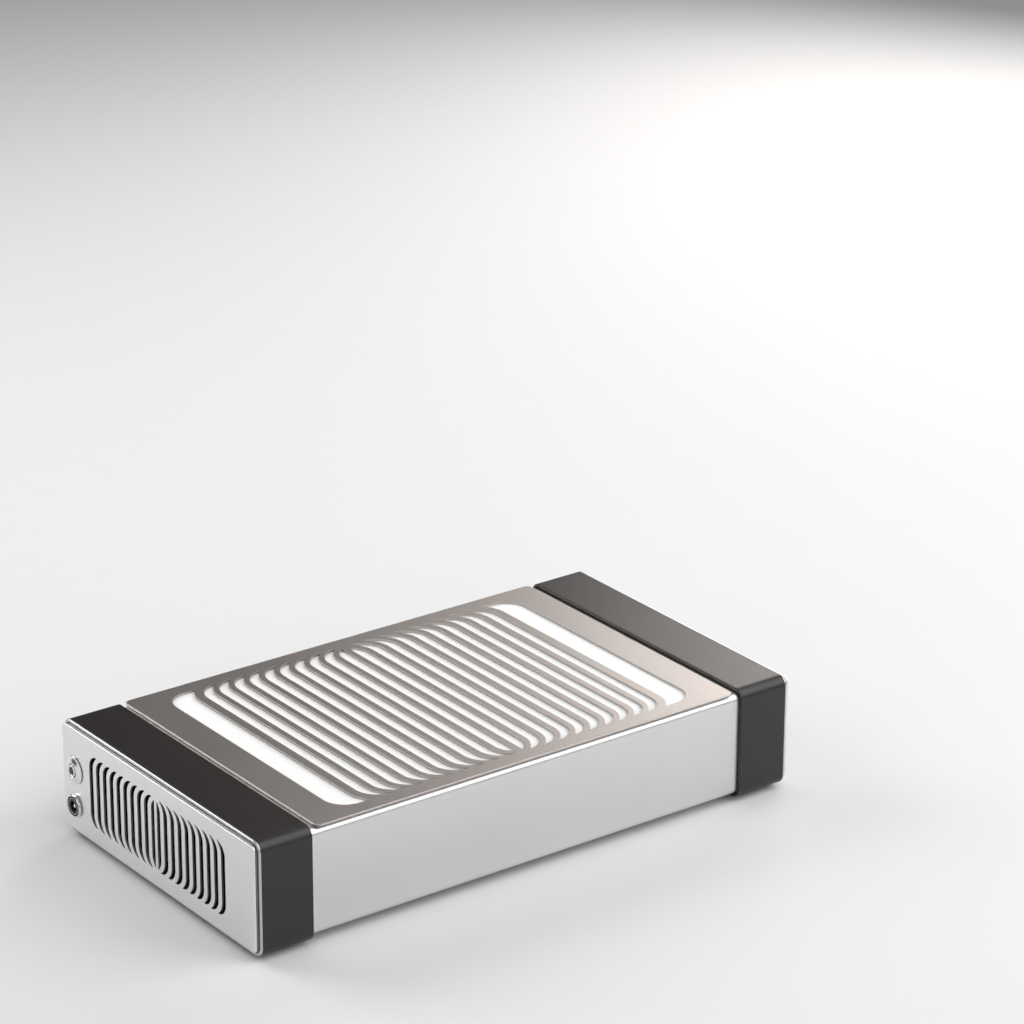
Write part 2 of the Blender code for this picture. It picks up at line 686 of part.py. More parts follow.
def make_fan_guard(name, fan_x, looks):
    """Three welded wire rings on two crossed wires, lying on the deck over the fan."""
    radius = 0.8 * MM
    level = DECK_TOP + GAP + radius
    spoke = 53 * MM
    base = block(name, (-spoke, -radius, -radius), (spoke, radius, radius))
    place = Matrix.Translation((fan_x, 0, level)) @ Matrix.Rotation(math.radians(45), 4, "Z")
    guard = show(name, base, looks["chrome"], place)
    other = block(name + "_cross", (-radius, -spoke, -radius), (radius, spoke, radius))
    boolean(guard, cutter(name + "_cross", other, place), "UNION")
    bm = bmesh.new()
    for size in (18 * MM, 30 * MM, 42 * MM):
        wall = radius * 0.98
        ring = turned("ring", [
            (size - wall, -wall), (size + wall, -wall), (size + wall, wall), (size - wall, wall),
        ], 20)
        bm.from_mesh(ring)
    rings = finish_mesh(bm, name + "_rings")
    boolean(guard, cutter(name + "_rings", rings, place), "UNION")


def make_fan_screws(looks):
    """Pan-headed screws through the deck into the fan's flange."""
    reach = FAN_HOLE_SPACING / 2
    head = DECK_TOP + GAP
    mesh = turned("fan_screw", [
        (0, head + 1.9 * MM), (2.2 * MM, head + 1.9 * MM), (3 * MM, head + 1.1 * MM),
        (3 * MM, head), (1.5 * MM, head), (1.5 * MM, head - 9 * MM), (0, head - 9 * MM),
    ], 8)
    mesh.materials.append(looks["zinc_steel"])
    number = 0
    for fan_x in (-FAN_X, FAN_X):
        for sx, sy in ((-1, -1), (1, -1), (1, 1), (-1, 1)):
            number += 1
            place = Matrix.Translation((fan_x + sx * reach, sy * reach, 0))
            show(f"fan_screw_{number}", mesh, None, place)


# ---------------------------------------------------------------- filter


def make_gasket(looks):
    rows = [
        (0.5 * MM, DECK_TOP + GAP), (0.5 * MM, GASKET_TOP), (5 * MM, GASKET_TOP), (5 * MM, DECK_TOP + GAP),
    ]
    show("filter_gasket", sleeve_z("filter_gasket", CASSETTE, 5 * MM, rows), looks["black_foam"])


def make_cassette(looks):
    """A tray-like frame with a ledge at its foot, and the folded filter block that sits in it."""
    lift = pivot("cassette_slide", (0, 0, CASSETTE_BOTTOM))
    wall, ledge = CASSETTE_WALL, 7 * MM
    foot = 1.2 * MM
    high = CASSETTE_TOP - CASSETTE_BOTTOM
    rows = [
        (0, 0), (0, high), (wall, high), (wall, foot), (ledge, foot), (ledge, 0),
    ]
    frame = sleeve_z("filter_frame", CASSETTE, 5 * MM, rows)
    show("filter_frame", frame, looks["white_plastic"], parent=lift)
    half_x = CASSETTE[0] / 2 - wall - GAP
    half_y = CASSETTE[1] / 2 - wall - GAP
    low = foot + GAP
    pad = block("filter_pad", (-half_x, -half_y, low), (half_x, half_y, PAD_TOP - CASSETTE_BOTTOM), 1 * MM)
    show("filter_pad", pad, looks["white_filter"], parent=lift)


# ---------------------------------------------------------------- controls


def make_button(looks):
    at = (CONTROL_FACE_X, CONTROL_Y, BUTTON_Z)
    housing = turned("button_housing", [
        (BUTTON_BORE, BUTTON_PROUD), (BUTTON_BORE, -8 * MM), (BUTTON_BARREL, -8 * MM),
        (BUTTON_BARREL, GAP), (BUTTON_RADIUS, GAP), (BUTTON_RADIUS, 0.6 * MM),
        (BUTTON_BORE + 0.5 * MM, BUTTON_PROUD + 0.1 * MM),
    ])
    show("button_housing", housing, looks["chrome"], facing_minus_x(at))
    slide = pivot("button_slide", at)
    face = BUTTON_PROUD + 0.4 * MM
    well = 2.1 * MM
    plunger = turned("button_plunger", [
        (0, -5 * MM), (PLUNGER_RADIUS, -5 * MM), (PLUNGER_RADIUS, face - 0.3 * MM),
        (PLUNGER_RADIUS - 0.3 * MM, face), (well, face), (well, face - 1.2 * MM), (0, face - 1.2 * MM),
    ])
    turn = facing_minus_x((0, 0, 0))
    show("button_plunger", plunger, looks["chrome"], turn, parent=slide)
    lens = turned("button_lens", [
        (0, face - 1 * MM), (1.9 * MM, face - 1 * MM), (1.9 * MM, face - 0.15 * MM), (0, face - 0.05 * MM),
    ], 20)
    show("button_lens", lens, looks["dark_lens"], turn, parent=slide)
    switch = turned("button_switch", [
        (0, -16 * MM), (5.2 * MM, -16 * MM), (BUTTON_BARREL, -15.4 * MM),
        (BUTTON_BARREL, -8.3 * MM), (0, -8.3 * MM),
    ], 16)
    show("button_switch", switch, looks["black_plastic"], facing_minus_x(at))
    nut = turned("button_nut", [
        (BUTTON_BARREL + GAP, -3.8 * MM), (7.6 * MM, -3.8 * MM), (7.6 * MM, -1.8 * MM),
        (BUTTON_BARREL + GAP, -1.8 * MM),
    ], 6 * 3)
    show("button_nut", nut, looks["zinc_steel"], facing_minus_x(at))


def make_jack(looks):
    at = (CONTROL_FACE_X, CONTROL_Y, JACK_Z)
    place = facing_minus_x(at)
    front = JACK_PROUD
    bore = 3.3 * MM
    shell = turned("jack_shell", [
        (bore, front - 0.9 * MM), (bore, -11 * MM), (JACK_BARREL, -11 * MM), (JACK_BARREL, GAP),
        (JACK_RADIUS, GAP), (JACK_RADIUS, front - 0.4 * MM), (JACK_RADIUS - 0.4 * MM, front),
        (5.2 * MM, front), (5.2 * MM, front - 0.9 * MM),
    ])
    show("jack_shell", shell, looks["chrome"], place)
    face = front - 0.1 * MM
    insert = turned("jack_insert", [
        (2.75 * MM, face), (2.75 * MM, -9 * MM), (1.3 * MM, -9 * MM), (1.3 * MM, -10.5 * MM),
        (3 * MM, -10.5 * MM), (3 * MM, face - 0.5 * MM), (4.9 * MM, face - 0.5 * MM),
        (4.9 * MM, face), (4.3 * MM, face), (4.3 * MM, face - 0.25 * MM),
        (3.7 * MM, face - 0.25 * MM), (3.7 * MM, face),
    ])
    show("jack_insert", insert, looks["black_plastic"], place)
    ring = turned("jack_ring", [
        (3.85 * MM, face - 0.15 * MM), (4.15 * MM, face - 0.15 * MM),
        (4.15 * MM, face + 0.1 * MM), (3.85 * MM, face + 0.1 * MM),
    ])
    show("jack_ring", ring, looks["zinc_steel"], place)
    pin = turned("jack_pin", [
        (0, -12 * MM), (1.05 * MM, -12 * MM), (1.05 * MM, front - 1 * MM), (0.6 * MM, front - 0.6 * MM),
        (0, front - 0.5 * MM),
    ], 16)
    show("jack_pin", pin, looks["chrome"], place)
    nut = turned("jack_nut", [
        (JACK_BARREL + GAP, -3.6 * MM), (6 * MM, -3.6 * MM), (6 * MM, -1.8 * MM),
        (JACK_BARREL + GAP, -1.8 * MM),
    ], 6 * 3)
    show("jack_nut", nut, looks["zinc_steel"], place)


def make_board(looks):
    x, y = BOARD_AT
    sx, sy, thick = BOARD_SIZE
    top = BOARD_BOTTOM + thick
    board = block("control_board", (x - sx / 2, y - sy / 2, BOARD_BOTTOM), (x + sx / 2, y + sy / 2, top))
    show("control_board", board, looks["board_green"])
    high = top + GAP
    can = turned("board_capacitor", [
        (0, 0), (4 * MM, 0), (4 * MM, 10.5 * MM), (3.6 * MM, 11 * MM), (0, 11 * MM),
    ], 16)
    show("board_capacitor", can, looks["black_plastic"], Matrix.Translation((x + 3 * MM, y - 14 * MM, high)))
    low_corner = (x - CONNECTOR_HALF_X, y - CONNECTOR_FRONT, high)
    high_corner = (x + CONNECTOR_HALF_X, y + CONNECTOR_BACK, high + CONNECTOR_HEIGHT)
    plug = block("board_connector", low_corner, high_corner, 0.4 * MM)
    show("board_connector", plug, looks["white_plastic"])
    for number, sign in enumerate((-1, 1), 1):
        post = turned("board_post", [(0, 0), (2.5 * MM, 0), (2.5 * MM, POST_HEIGHT), (0, POST_HEIGHT)], 12)
        place = Matrix.Translation((x, y + sign * 21 * MM, FLOOR + GAP))
        show(f"board_post_{number}", post, looks["zinc_steel"], place)


def make_wires(looks):
    """Leads held inside the casing, from the switch, the jack and both fans to the board's connector."""
    x, y = BOARD_AT
    plug_z = BOARD_BOTTOM + BOARD_SIZE[2] + GAP + 3.5 * MM
    plug_y = y + CONNECTOR_BACK + 2 * GAP
    fan_side_x = x + CONNECTOR_HALF_X + 2 * GAP
    diameter = 2.4 * MM
    wire("jack_wire", [
        (CONTROL_FACE_X + 12.8 * MM, CONTROL_Y, JACK_Z), (-139 * MM, CONTROL_Y, JACK_Z),
        (-134.5 * MM, CONTROL_Y - 5 * MM, JACK_Z), (-139 * MM, y + 20 * MM, plug_z + 1 * MM),
        (-139 * MM, y + 13 * MM, plug_z), (-139 * MM, plug_y, plug_z),
    ], diameter, looks["black_rubber"])
    wire("button_wire", [
        (CONTROL_FACE_X + 16.6 * MM, CONTROL_Y, BUTTON_Z), (-136 * MM, CONTROL_Y, BUTTON_Z - 1 * MM),
        (-131 * MM, CONTROL_Y - 4 * MM, BUTTON_Z - 9 * MM), (-134 * MM, y + 22 * MM, plug_z + 3 * MM),
        (-134 * MM, y + 13 * MM, plug_z), (-134 * MM, plug_y, plug_z),
    ], diameter, looks["black_rubber"])
    under_fan = FAN_BOTTOM - 1.6 * MM
    lying = FLOOR + 1 * MM + diameter / 2
    wire("left_fan_wire", [
        (-FAN_X - 5 * MM, 14 * MM, under_fan), (-FAN_X - 14 * MM, 22 * MM, under_fan - 3 * MM),
        (-85 * MM, 27 * MM, lying), (-110 * MM, y - 3 * MM, lying), (-121 * MM, y - 2 * MM, plug_z - 1 * MM),
        (fan_side_x + 4 * MM, y - 1 * MM, plug_z), (fan_side_x, y - 1 * MM, plug_z),
    ], diameter, looks["black_rubber"])
    rail = 58 * MM
    wire("right_fan_wire", [
        (FAN_X - 5 * MM, 14 * MM, under_fan), (FAN_X - 14 * MM, 26 * MM, under_fan - 3 * MM),
        (22 * MM, 46 * MM, lying), (-5 * MM, rail, lying), (-70 * MM, rail, lying),
        (-106 * MM, rail - 6 * MM, lying), (-119 * MM, y + 10 * MM, plug_z - 1 * MM),
        (fan_side_x + 4 * MM, y + 5 * MM, plug_z), (fan_side_x, y + 5 * MM, plug_z),
    ], diameter, looks["black_rubber"])


def build():
    clear_scene()
    looks = make_materials()
    drill = screw_hole_cutter()
    make_body_shell(looks, drill)
    for side, name in ((-1, "left"), (1, "right")):
        make_band(name + "_band", side, looks, drill)
        make_end_frame(name + "_end_frame", side, looks)
        make_end_plate(name + "_end_plate", side, looks)
        make_fan_frame(name + "_fan_frame", side * FAN_X, looks)
        make_stator(name + "_fan_stator", side * FAN_X, looks)
        make_rotor(name + "_fan_rotor", side * FAN_X, looks)
        make_fan_guard(name + "_fan_guard", side * FAN_X, looks)
    make_lid(looks)
    make_magnets(looks)
    make_feet(looks)
    make_deck(looks)
    make_fan_screws(looks)
    make_gasket(looks)
    make_cassette(looks)
    make_button(looks)
    make_jack(looks)
    make_board(looks)
    make_wires(looks)


build()
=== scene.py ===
# %% [markdown]
# # A nail dust collector, finished around its working model
#
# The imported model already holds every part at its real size, with its joints. What it lacks is
# its surface: soft edges, brushed steel, powder coat, moulded plastic. This script loads the
# model as a fixed frame and makes each visible part again as a smooth surface in the same place.
# Every new surface is a formula worked out over a whole grid of points at once.

# %% Load the frame
import math

import bmesh
import bpy
import numpy as np
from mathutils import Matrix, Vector
from mathutils.geometry import tessellate_polygon


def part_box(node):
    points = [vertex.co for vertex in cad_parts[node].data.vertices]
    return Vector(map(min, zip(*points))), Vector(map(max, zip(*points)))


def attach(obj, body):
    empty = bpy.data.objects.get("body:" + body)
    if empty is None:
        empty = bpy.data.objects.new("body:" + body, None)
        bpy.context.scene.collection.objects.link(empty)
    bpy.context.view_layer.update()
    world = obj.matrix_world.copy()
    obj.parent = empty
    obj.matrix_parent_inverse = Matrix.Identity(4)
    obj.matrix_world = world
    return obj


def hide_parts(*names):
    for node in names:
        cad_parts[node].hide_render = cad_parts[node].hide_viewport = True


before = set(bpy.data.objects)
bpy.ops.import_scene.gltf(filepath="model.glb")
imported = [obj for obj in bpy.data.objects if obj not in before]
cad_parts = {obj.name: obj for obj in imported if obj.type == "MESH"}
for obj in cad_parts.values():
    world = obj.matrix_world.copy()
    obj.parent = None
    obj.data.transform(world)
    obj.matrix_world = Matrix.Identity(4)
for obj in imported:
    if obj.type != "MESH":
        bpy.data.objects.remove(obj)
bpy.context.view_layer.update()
MM = 0.001

# %% [markdown]
# ## The camera
#
# The camera comes first, because it decides how fine each surface has to be. It stands about
# two metres off with a long lens, which keeps the long edges nearly parallel, as a product
# picture does.

# %% Place the camera
CAMERA_AT = (-1.0437, -1.4650, 0.8831)
CAMERA_TURN = (68.013, -0.230, -36.633)  # degrees about X, Y and Z
camera_data = bpy.data.cameras.new("camera")
camera_data.lens = 143.19
camera_data.sensor_width = 36
camera = bpy.data.objects.new("camera", camera_data)
camera.location = CAMERA_AT
camera.rotation_euler = [math.radians(angle) for angle in CAMERA_TURN]
bpy.context.scene.collection.objects.link(camera)
bpy.context.scene.camera = camera
print("camera", round(Vector(CAMERA_AT).length, 2), "m from the origin")

# %% [markdown]
# ## Shader sums that read like sums
#
# A finish is a network of nodes. Wiring each node by hand hides the idea in bookkeeping, so a
# socket is wrapped in a small class whose operators add the Math nodes. `1 - mask` then builds
# a Subtract node. Everything else goes through one method, `node`.


# %% A socket that can be added and multiplied
class Value:
    """One output socket. Sums and products with it add Math nodes to its material."""

    def __init__(self, finish, socket):
        self.finish = finish
        self.socket = socket

    def math(self, operation, first, second):
        return self.finish.node("ShaderNodeMath", {"operation": operation}, {0: first, 1: second})

    def __add__(self, other):
        return self.math("ADD", self, other)

    def __sub__(self, other):
        return self.math("SUBTRACT", self, other)

    def __rsub__(self, other):
        return self.math("SUBTRACT", other, self)

    def __mul__(self, other):
        return self.math("MULTIPLY", self, other)

    def __pow__(self, other):
        return self.math("POWER", self, other)

    __radd__ = __add__
    __rmul__ = __mul__

    def __abs__(self):
        return self.math("ABSOLUTE", self, 0)

    def past(self, edge):
        """How far the value lies beyond edge, and 0 before it."""
        return self.math("MAXIMUM", self - edge, 0)


# %% A material that is written as expressions
class Finish:
    """A material, its Principled shader and the nodes that paint it."""

    def __init__(self, name, **constants):
        self.material = bpy.data.materials.new(name)
        self.material.use_nodes = True
        self.tree = self.material.node_tree
        self.shader = self.tree.nodes["Principled BSDF"]
        for socket, value in constants.items():
            self.shader.inputs[socket.replace("_", " ")].default_value = value
        self.place = self.node("ShaderNodeTexCoord", output="Object")

    def node(self, kind, settings=None, inputs=None, output=0):
        """Adds one node: its settings first, then a value or a link for each named socket."""
        made = self.tree.nodes.new(kind)
        for name, value in (settings or {}).items():
            setattr(made, name, value)
        for key, value in (inputs or {}).items():
            self.feed(made.inputs[key], value)
        return Value(self, made.outputs[output])

    def feed(self, socket, value):
        if isinstance(value, Value):
            self.tree.links.new(value.socket, socket)
        else:
            socket.default_value = value

    def paint(self, socket, value):
        self.feed(self.shader.inputs[socket], value)

    def noise(self, scale, detail=2, roughness=0.5):
        """Noise from 0 to 1. scale holds the grains per metre along X, Y and Z."""
        stretched = self.node("ShaderNodeMapping", inputs={"Vector": self.place, "Scale": scale})
        wanted = {"Vector": stretched, "Scale": 1, "Detail": detail, "Roughness": roughness}
        return self.node("ShaderNodeTexNoise", inputs=wanted)

    def mix(self, share, first, second):
        """Colour first where share is 0 and colour second where it is 1."""
        wanted = {0: share, 6: first, 7: second}
        return self.node("ShaderNodeMix", {"data_type": "RGBA"}, wanted, output=2)

    def rise(self, value, start, end):
        """0 up to start, 1 from end on, and a soft step between them."""
        wanted = {"Value": value, "From Min": start, "From Max": end}
        return self.node("ShaderNodeMapRange", {"interpolation_type": "SMOOTHSTEP"}, wanted)

    def along(self, axis):
        """The point's own X, Y or Z on the object, in metres."""
        return self.node("ShaderNodeSeparateXYZ", inputs={"Vector": self.place}, output="XYZ".index(axis))

    def bump(self, height, depth, strength=1.0):
        """Tilts the surface as if it stood depth metres proud where height is 1."""
        wanted = {"Height": height, "Distance": depth, "Strength": strength}
        self.paint("Normal", self.node("ShaderNodeBump", inputs=wanted))


def grey(level):
    return (level, level, level, 1)


def tint(red, green, blue):
    return (red, green, blue, 1)


def shaded(colour, share):
    """The same colour, lighter or darker."""
    return tuple(share * part for part in colour[:3]) + (1,)


# %% [markdown]
# ## The metal finishes
#
# Sheet steel off a brushing machine carries thousands of fine scratches in one direction. They
# are far too fine to model, so noise is stretched: a few grains per metre along the brushing
# and thousands across it. It moves the roughness a little and the height by a few microns. A
# second, slow noise stands for the uneven film that handling leaves. The inside of the body's
# sheet is painted near black, as painted shade, so nothing bright shows through its vents.
# Distance from the inner edge of the bends tells the inside of the sheet from its outside.


# %% Brushed and satin sheet
def sheet_metal(name, colour, roughness, along=(30, 2600, 2600), scratch=3e-6, film=0.05, painted_inner_shade=None):
    """Roughness = base + fine scratches + slow film; height follows the scratches. Given half_y,
    low, high and bend as its last argument, it paints the inside of the bent sheet near black: painted shade."""
    finish = Finish(name, Metallic=1.0)
    scratches = finish.noise(along, detail=3, roughness=0.6)
    cloud = finish.noise((14, 14, 14), detail=3)
    grain = finish.noise((900, 900, 900), detail=2)
    bright = finish.mix(cloud, shaded(colour, 0.94), shaded(colour, 1.04))
    gloss = (cloud - 0.5) * film + (scratches - 0.5) * 0.10 + roughness
    # Painted shade: the inside of the sheet is made near black, dull and not metallic, so the vents look dark
    # inside.
    if painted_inner_shade:
        half_y, low, high, bend = painted_inner_shade
        over_y = abs(finish.along("Y")).past(half_y - bend)
        over_z = abs(finish.along("Z") - (low + high) / 2).past((high - low) / 2 - bend)
        depth = (over_y**2 + over_z**2) ** 0.5
        inner_shade = 1 - finish.rise(depth, bend - 0.7 * MM, bend - 0.5 * MM)
        bright = finish.mix(inner_shade, bright, tint(0.012, 0.012, 0.012))
        gloss = gloss + inner_shade * 0.4
        finish.paint("Metallic", 1 - inner_shade)
    finish.paint("Base Color", bright)
    finish.paint("Roughness", gloss)
    finish.bump(scratches + grain * 0.4, scratch)
    return finish.material


BODY_RADIUS = 4 * MM
body_low, body_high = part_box("body_shell")
# Bounds of the body's sheet, for the painted shade on its inside.
inner_shade_bounds = (body_high[1], body_low[2], body_high[2], BODY_RADIUS)
body_steel = sheet_metal("body_steel", tint(0.76, 0.755, 0.76), 0.34, painted_inner_shade=inner_shade_bounds)
lid_steel = sheet_metal("lid_steel", tint(0.50, 0.465, 0.445), 0.44, along=(2600, 30, 2600))
plate_metal = sheet_metal("plate_metal", tint(0.86, 0.86, 0.865), 0.40, along=(2600, 60, 2600), scratch=2e-6)
zinc_steel = sheet_metal("zinc_steel", tint(0.55, 0.56, 0.55), 0.38, along=(120, 120, 120), film=0.2)
nickel = sheet_metal("nickel", tint(0.62, 0.60, 0.57), 0.2, along=(300, 300, 300))
print("sheet metals:", body_steel.name, lid_steel.name, plate_metal.name)


# %% Chrome and copper
def polished(name, colour, roughness):
    """A mirror finish with faint wipe marks in its roughness."""
    finish = Finish(name, Metallic=1.0)
    wipes = finish.noise((220, 900, 220), detail=4)
    finish.paint("Base Color", finish.mix(wipes, shaded(colour, 0.96), colour))
    finish.paint("Roughness", wipes * 0.10 + roughness)
    finish.bump(wipes, 1e-6)
    return finish.material


chrome = polished("chrome", tint(0.82, 0.82, 0.83), 0.10)
copper = polished("copper_winding", tint(0.72, 0.33, 0.18), 0.25)

# %% [markdown]
# ## Powder coat, plastic and rubber
#
# The end bands are steel with a charcoal powder coat. Powder melts into a skin with a very fine
# orange peel, and it stays a little warm in colour. A Voronoi pattern with round cells makes
# the orange peel, and slow noise keeps the broad top from looking like one flat colour.
#
# After coating, the outer rim of each band is cut back to bright metal. That is one more mask in
# the same finish: from a given distance along X the paint gives way to bare, finely turned metal.


# %% Powder coat
def powder_coat(name, colour, roughness, bare_from=None):
    """Height = small round cells; colour and roughness drift slowly over the surface. Beyond
    bare_from metres from the middle, along X, the metal is bare."""
    finish = Finish(name, Specular_IOR_Level=0.5)
    drift = finish.noise((22, 9, 22), detail=4, roughness=0.55)
    speck = finish.noise((3000, 3000, 3000), detail=1)
    cells = {"Vector": finish.place, "Scale": 1500}
    peel = finish.node("ShaderNodeTexVoronoi", {"feature": "SMOOTH_F1"}, cells)
    mottled = finish.mix(drift, shaded(colour, 0.8), shaded(colour, 1.25))
    paint = finish.mix(speck * 0.25, mottled, shaded(colour, 1.9))
    gloss = (drift - 0.5) * 0.12 + speck * 0.05 + roughness
    if bare_from:
        bare = finish.rise(abs(finish.along("X")), bare_from - 0.15 * MM, bare_from)
        paint = finish.mix(bare, paint, tint(0.56, 0.56, 0.56))
        gloss = gloss * (1 - bare) + bare * 0.30
        finish.paint("Metallic", bare)
    finish.paint("Base Color", paint)
    finish.paint("Roughness", gloss)
    finish.bump(peel, 4e-6, 0.6)
    return finish.material


bare_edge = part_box("right_band")[1][0] - 0.9 * MM
dark_coat = powder_coat("dark_powder_coat", tint(0.017, 0.0145, 0.0135), 0.35, bare_edge)
# Painted shade: the fan deck gets a near-black coat so the inside looks dark through the vents.
deck_shade_coat = powder_coat("deck_painted_shade", tint(0.020, 0.020, 0.021), 0.45)
frame_coat = sheet_metal("surround_metal", tint(0.38, 0.38, 0.39), 0.4)


# %% Moulded plastic, rubber and foam
def moulded(name, colour, roughness, grain=1800, depth=6e-6, spread=0.15):
    """Spark-eroded mould texture: fine noise in the height, the same noise faintly in the colour."""
    finish = Finish(name)
    texture = finish.noise((grain, grain, grain), detail=2)
    drift = finish.noise((60, 60, 60), detail=2)
    dark, light = shaded(colour, 1 - spread), shaded(colour, 1 + spread)
    finish.paint("Base Color", finish.mix(texture * 0.5 + drift * 0.5, dark, light))
    finish.paint("Roughness", texture * 0.12 + roughness)
    finish.bump(texture, depth)
    return finish.material


black_plastic = moulded("black_plastic", tint(0.022, 0.022, 0.023), 0.42)
socket_plastic = moulded("socket_plastic", tint(0.012, 0.012, 0.012), 0.38)
white_plastic = moulded("white_plastic", tint(0.80, 0.80, 0.78), 0.42)
rubber = moulded("foot_rubber", tint(0.020, 0.020, 0.020), 0.72, grain=900, depth=2e-5)
foam = moulded("seal_foam", tint(0.030, 0.030, 0.032), 0.9, grain=1400, depth=8e-5)
cable_skin = moulded("cable_skin", tint(0.018, 0.018, 0.018), 0.5, grain=1200)
board_mask = moulded("board_mask", tint(0.006, 0.022, 0.014), 0.35, grain=500)
lens_glass = moulded("smoked_lens", tint(0.010, 0.010, 0.012), 0.06, depth=1e-6)


# %% Filter fleece
def fleece(name, colour):
    """Non-woven fibre: three noises, each stretched another way, stand for crossing fibres."""
    finish = Finish(name, Roughness=0.95, Sheen_Weight=0.25)
    fibres = finish.noise((2600, 260, 900)) + finish.noise((260, 2600, 900)) + finish.noise((1500, 1500, 900))
    tuft = finish.noise((160, 160, 160), detail=4)
    finish.paint("Base Color", finish.mix(fibres * 0.33, shaded(colour, 0.93), shaded(colour, 1.03)))
    finish.bump(fibres * 0.5 + tuft, 6e-5, 0.7)
    return finish.material


filter_white = fleece("filter_fleece", tint(0.955, 0.955, 0.95))
print("finishes:", len(bpy.data.materials))

# %% [markdown]
# ## From numbers to a mesh
#
# Each surface below is an array of points with as many rows and columns as it needs. Two
# helpers turn that into a part. `grid` names the four corners of every cell, and `part` puts
# several such surfaces together, welds the points they share, turns all faces outwards and
# hands the result to the body it moves with.


# %% Grids and fills
def grid(points, wrap_rows=False, wrap_columns=True):
    """(points, faces) of a grid. A wrapped direction joins its last line to its first."""
    rows, columns = points.shape[:2]
    down = np.arange(rows if wrap_rows else rows - 1)
    across = np.arange(columns if wrap_columns else columns - 1)
    i, j = (a.ravel() for a in np.meshgrid(down, across, indexing="ij"))
    next_i, next_j = (i + 1) % rows, (j + 1) % columns
    corners = [i * columns + j, i * columns + next_j, next_i * columns + next_j, next_i * columns + j]
    return points.reshape(-1, 3), np.stack(corners, axis=1)


def fill(loops, to_space):
    """(points, faces) of the flat area inside the first outline and outside the others."""
    flat = [np.column_stack([loop, np.zeros(len(loop))]) for loop in loops]
    faces = np.array(tessellate_polygon([[Vector(p) for p in loop] for loop in flat]))
    return to_space(np.concatenate(flat)), faces


# %% One call for a finished part
WELD = 1e-6
SHARP_FROM = math.radians(50)


def part(name, surfaces, material, slot, body, replaces=()):
    """Joins surfaces into one welded mesh, faces outwards, shaded by the size of its faces."""
    bm = bmesh.new()
    for points, faces in surfaces:
        corners = [bm.verts.new(p) for p in points.tolist()]
        for face in faces.tolist():
            if len(set(face)) == len(face):
                bm.faces.new([corners[k] for k in face])
    bmesh.ops.remove_doubles(bm, verts=bm.verts, dist=WELD)
    bmesh.ops.dissolve_degenerate(bm, dist=WELD / 10, edges=bm.edges)
    bmesh.ops.recalc_face_normals(bm, faces=bm.faces)
    mesh = bpy.data.meshes.new(name)
    bm.to_mesh(mesh)
    open_edges = sum(len(edge.link_faces) != 2 for edge in bm.edges)
    bm.free()
    mesh.shade_smooth()
    mesh.set_sharp_from_angle(angle=SHARP_FROM)
    mesh.materials.append(material)
    piece = bpy.data.objects.new(name, mesh)
    bpy.context.scene.collection.objects.link(piece)
    even = piece.modifiers.new("even_shading", "WEIGHTED_NORMAL")
    even.keep_sharp = True
    even.weight = 100
    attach(piece, body)
    if replaces:
        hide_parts(*replaces)
    print(f"{name}: {len(mesh.polygons)} faces" + (f", {open_edges} open edges" if open_edges else ""))
    return piece


# %% Soft corners
def soften(points, cut, steps=4, closed=False):
    """Rounds a profile's corners. Each corner V becomes the curve (1-t)^2 A + 2t(1-t) V + t^2 B,
    where A and B lie cut metres before and after it. cut may differ from corner to corner."""
    points = np.asarray(points, float)
    cut = np.broadcast_to(np.asarray(cut, float), len(points)).copy()
    if not closed:
        cut[[0, -1]] = 0
    before = np.roll(points, 1, axis=0) - points
    after = np.roll(points, -1, axis=0) - points
    lengths = [np.maximum(np.linalg.norm(way, axis=1), 1e-12) for way in (before, after)]
    cut = np.minimum(cut, 0.5 * np.minimum(*lengths))
    start = points + before * (cut / lengths[0])[:, None]
    end = points + after * (cut / lengths[1])[:, None]
    t = np.linspace(0, 1, steps + 1)[None, :, None]
    curve = (1 - t) ** 2 * start[:, None] + 2 * t * (1 - t) * points[:, None] + t**2 * end[:, None]
    curve = curve.reshape(-1, points.shape[1])
    moved = np.linalg.norm(np.diff(curve, axis=0), axis=1) > 1e-9
    return curve[np.concatenate([[True], moved])]


# %% [markdown]
# ## Sleeves and turned parts
#
# Most of this object is one of two shapes. A sleeve is a wall profile carried round a
# rectangle with round corners: the bands, the surrounds, the filter's tray. A turned part is a
# profile carried round a circle: the button, the inlet, the feet. Both are one array formula.


# %% A profile carried round a rounded rectangle
def corner_frame(half_u, half_v, radius, steps):
    """Centres and outward directions of all points on a rounded rectangle's four corners."""
    quarter = np.radians(np.linspace(0, 90, steps + 1))
    angle = (quarter[None, :] + np.radians([0, 90, 180, 270])[:, None]).ravel()
    signs = np.repeat([(1, 1), (-1, 1), (-1, -1), (1, -1)], steps + 1, axis=0)
    centres = signs * (half_u - radius, half_v - radius)
    return centres, np.stack([np.cos(angle), np.sin(angle)], axis=1)


def rounded_outline(half_u, half_v, radius, steps=10):
    """Point = corner centre + radius times its direction."""
    centres, ways = corner_frame(half_u, half_v, radius, steps)
    return centres + radius * ways


def sleeve(half_u, half_v, radius, profile, axis, middle=(0, 0), steps=10):
    """Point = corner centre + (radius - inset) times its direction, at the profile's height.
    profile holds (inset, height) pairs all round the wall, and axis is the sleeve's direction."""
    centres, ways = corner_frame(half_u, half_v, radius, steps)
    inset, height = np.asarray(profile).T
    flat = centres[None] + (radius - inset)[:, None, None] * ways[None] + middle
    level = np.broadcast_to(height[:, None, None], flat.shape[:2] + (1,))
    order = {"x": (2, 0, 1), "z": (0, 1, 2)}[axis]
    return grid(np.concatenate([flat, level], axis=2)[:, :, order], wrap_rows=True)


